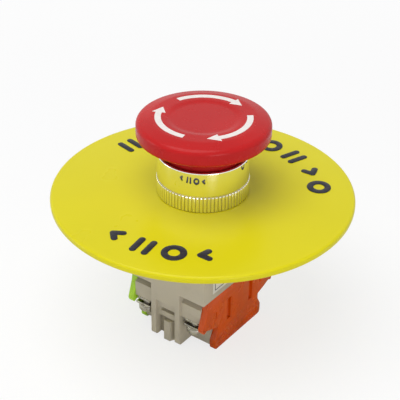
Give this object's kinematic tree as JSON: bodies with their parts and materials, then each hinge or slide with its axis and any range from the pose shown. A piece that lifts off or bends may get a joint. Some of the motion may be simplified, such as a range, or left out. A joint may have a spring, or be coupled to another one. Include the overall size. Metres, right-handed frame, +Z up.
{
  "type": "emergency stop button",
  "caption": "Twist-release mushroom stop button with a round legend plate, bezel ring and screw-terminal contact block for a 22 mm panel hole.",
  "frame": {"origin": "on the button's axis, in the plane of the legend plate's underside, where the panel lies", "axes": "+Z up the button's axis, +X towards the normally closed contact module, -Y towards one pair of terminals"},
  "size_m": [0.09, 0.09, 0.0705],
  "materials": {
    "red_plastic": "glossy moulded red",
    "white_inlay": "off-white inlay",
    "yellow_plate": "satin yellow",
    "black_marks": "black print",
    "rubber": "black rubber",
    "chrome": "bright plated",
    "dark_plastic": "black moulded",
    "beige_plastic": "beige moulded",
    "label_film": "pale film",
    "orange_plastic": "translucent orange",
    "green_plastic": "translucent green",
    "brass": "stamped brass",
    "silver": "silver alloy",
    "steel": "plated steel"
  },
  "bodies": {
    "housing": {"base_housing": "beige_plastic", "threaded_neck": "dark_plastic", "clamp_nut": "dark_plastic", "collar_screws": "steel", "legend_plate": "yellow_plate", "plate_marks": "black_marks", "plate_gasket": "rubber", "bezel_ring": "chrome", "side_label": "label_film", "nc_module_cover": "orange_plastic", "no_module_cover": "green_plastic", "nc_contact_strips": "steel", "no_contact_strips": "steel", "nc_fixed_tips": "silver", "no_fixed_tips": "silver", "terminal_screws": "steel", "screw_washers": "steel", "clamp_plates": "steel", "return_spring": "steel", "nc_spring": "steel", "no_spring": "steel"},
    "plunger": {"actuator_stem": "steel", "hub_clip": "steel", "twist_spring": "steel", "pusher_yoke": "dark_plastic", "pusher_screw": "steel"},
    "head": {"mushroom_cap": "red_plastic", "arrow_inlays": "white_inlay", "twist_hub": "dark_plastic", "cap_screws": "steel"},
    "latch_pin_right": {"latch_pin_right": "steel"},
    "latch_pin_left": {"latch_pin_left": "steel"},
    "nc_carrier": {"nc_carrier": "dark_plastic", "nc_bridge": "brass", "nc_bridge_tips": "silver"},
    "no_carrier": {"no_carrier": "dark_plastic", "no_contact_spring": "steel"},
    "no_bridge": {"no_bridge": "brass", "no_bridge_tips": "silver"}
  },
  "joints": [
    {"name": "push", "type": "slide", "parent": "housing", "child": "plunger", "axis": [0, 0, -1], "range_m": [0, 0.005], "stiffness_N_per_m": 1200, "springref_m": -0.003, "deforming": ["return_spring"]},
    {"name": "twist", "type": "hinge", "parent": "plunger", "child": "head", "pos_m": [0, 0, 0.018], "axis": [0, 0, 1], "range_deg": [-45, 0], "stiffness_Nm_per_rad": 0.05},
    {"name": "nc_carrier_slide", "type": "slide", "parent": "housing", "child": "nc_carrier", "axis": [0, 0, -1], "range_m": [0, 0.005], "deforming": ["nc_spring"]},
    {"name": "no_carrier_slide", "type": "slide", "parent": "housing", "child": "no_carrier", "axis": [0, 0, -1], "range_m": [0, 0.005], "deforming": ["no_spring"]},
    {"name": "no_bridge_slide", "type": "slide", "parent": "housing", "child": "no_bridge", "axis": [0, 0, -1], "range_m": [0, 0.003], "deforming": ["no_contact_spring"]},
    {"name": "latch_right", "type": "slide", "parent": "plunger", "child": "latch_pin_right", "axis": [1, 0, 0], "range_m": [0, 0.001]},
    {"name": "latch_left", "type": "slide", "parent": "plunger", "child": "latch_pin_left", "axis": [-1, 0, 0], "range_m": [0, 0.001]}
  ],
  "couplings": [
    {"joint": "nc_carrier_slide", "follows": "push", "ratio": 1},
    {"joint": "no_carrier_slide", "follows": "push", "ratio": 1},
    {"joint": "no_bridge_slide", "follows": "push", "ratio": 0.6},
    {"joint": "latch_right", "follows": "push", "ratio": 0.2},
    {"joint": "latch_left", "follows": "push", "ratio": 0.2}
  ]
}
